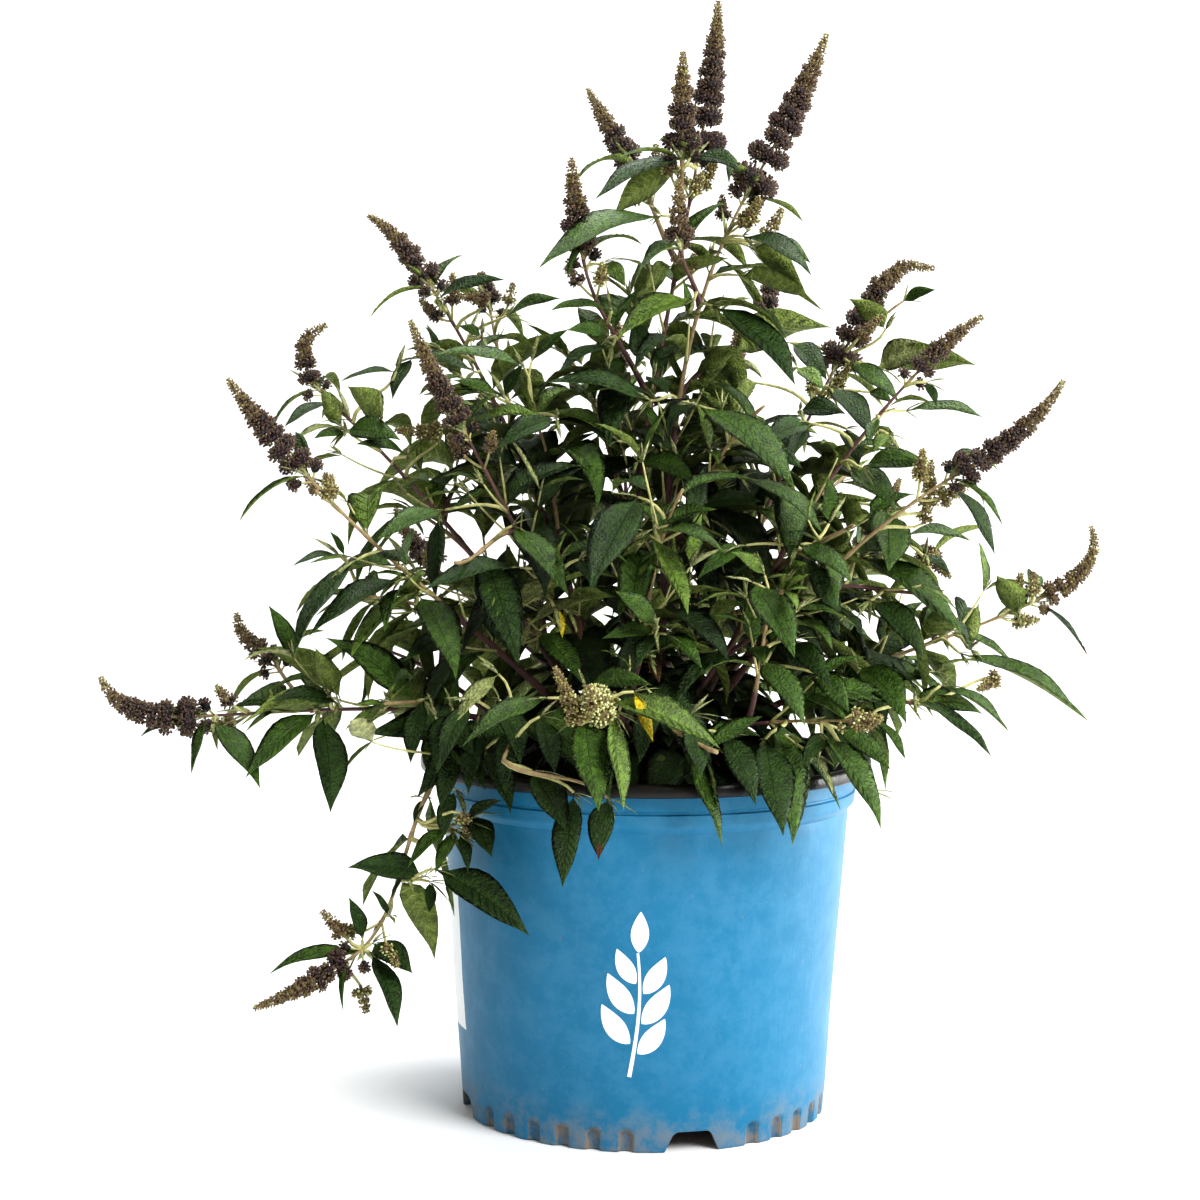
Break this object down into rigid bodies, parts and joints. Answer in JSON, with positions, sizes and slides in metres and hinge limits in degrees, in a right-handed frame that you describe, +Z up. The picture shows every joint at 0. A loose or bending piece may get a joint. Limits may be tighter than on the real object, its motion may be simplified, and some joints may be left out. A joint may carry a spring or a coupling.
{
  "type": "potted butterfly bush",
  "caption": "Bushy flowering shrub with long pointed leaves and tapering flower spikes, growing in a round tapered nursery pot with a fluted, notched foot.",
  "frame": {"origin": "centre of the pot's flat underside, on the surface it stands on", "axes": "+Z up along the pot's axis, -Y towards the pictured side, +X to its right"},
  "size_m": [0.6152, 0.4943, 0.6853],
  "materials": {
    "pot": "satin moulded plastic, blue outside, black rim and inside",
    "potting_mix": "rough shredded bark",
    "bark": "thin ridged bark",
    "foliage": "soft matt leaf"
  },
  "bodies": {
    "root": {"bough_back": "bark", "bough_back_left": "bark", "bough_back_low": "bark", "bough_back_right": "bark", "bough_front": "bark", "bough_front_right": "bark", "bough_hanging_left": "bark", "bough_inner_back": "bark", "bough_inner_left": "bark", "bough_inner_right": "bark", "bough_leader": "bark", "bough_left": "bark", "bough_left_back": "bark", "bough_left_front": "bark", "bough_low_left": "bark", "bough_low_right": "bark", "bough_right": "bark", "bough_right_front": "bark", "bough_right_leader": "bark", "bough_right_upper": "bark", "bough_upper_left": "bark", "foliage_back": "foliage", "foliage_back_left": "foliage", "foliage_back_low": "foliage", "foliage_back_right": "foliage", "foliage_front": "foliage", "foliage_front_right": "foliage", "foliage_hanging_left": "foliage", "foliage_inner_back": "foliage", "foliage_inner_left": "foliage", "foliage_inner_right": "foliage", "foliage_leader": "foliage", "foliage_left": "foliage", "foliage_left_back": "foliage", "foliage_left_front": "foliage", "foliage_low_left": "foliage", "foliage_low_right": "foliage", "foliage_right": "foliage", "foliage_right_front": "foliage", "foliage_right_leader": "foliage", "foliage_right_upper": "foliage", "foliage_upper_left": "foliage", "pot": "pot", "potting_mix": "potting_mix", "root_crown": "bark"}
  },
  "joints": []
}
